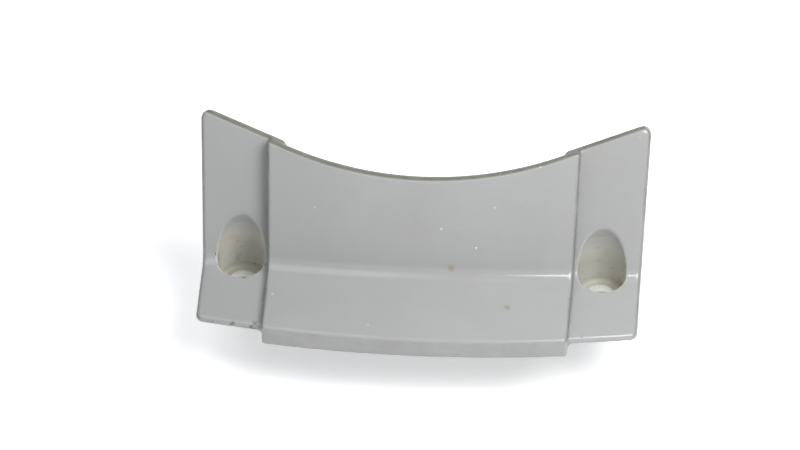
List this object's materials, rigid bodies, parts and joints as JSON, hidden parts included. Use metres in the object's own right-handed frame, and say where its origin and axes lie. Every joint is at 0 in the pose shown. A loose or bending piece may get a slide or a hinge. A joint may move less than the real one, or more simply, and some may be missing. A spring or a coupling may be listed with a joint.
{
  "type": "sash lift handle",
  "caption": "Curved finger lift for a window sash: raised centre grip between two ears with deep screw pockets, leaning wall with a hollow upper edge.",
  "frame": {"origin": "on the mounting face, halfway between the two screws", "axes": "+X along the handle, +Y from the lip towards the back of the leaning wall, +Z out of the sash along the screws"},
  "size_m": [0.0994, 0.0453, 0.047],
  "materials": {
    "white_lacquer": "gloss white lacquer on die-cast metal, slightly yellowed in the pockets",
    "white_enamel": "white enamelled head on a bright zinc-plated steel screw"
  },
  "bodies": {
    "root": {"lift_body": "white_lacquer", "mounting_screw_left": "white_enamel", "mounting_screw_right": "white_enamel"}
  },
  "joints": []
}
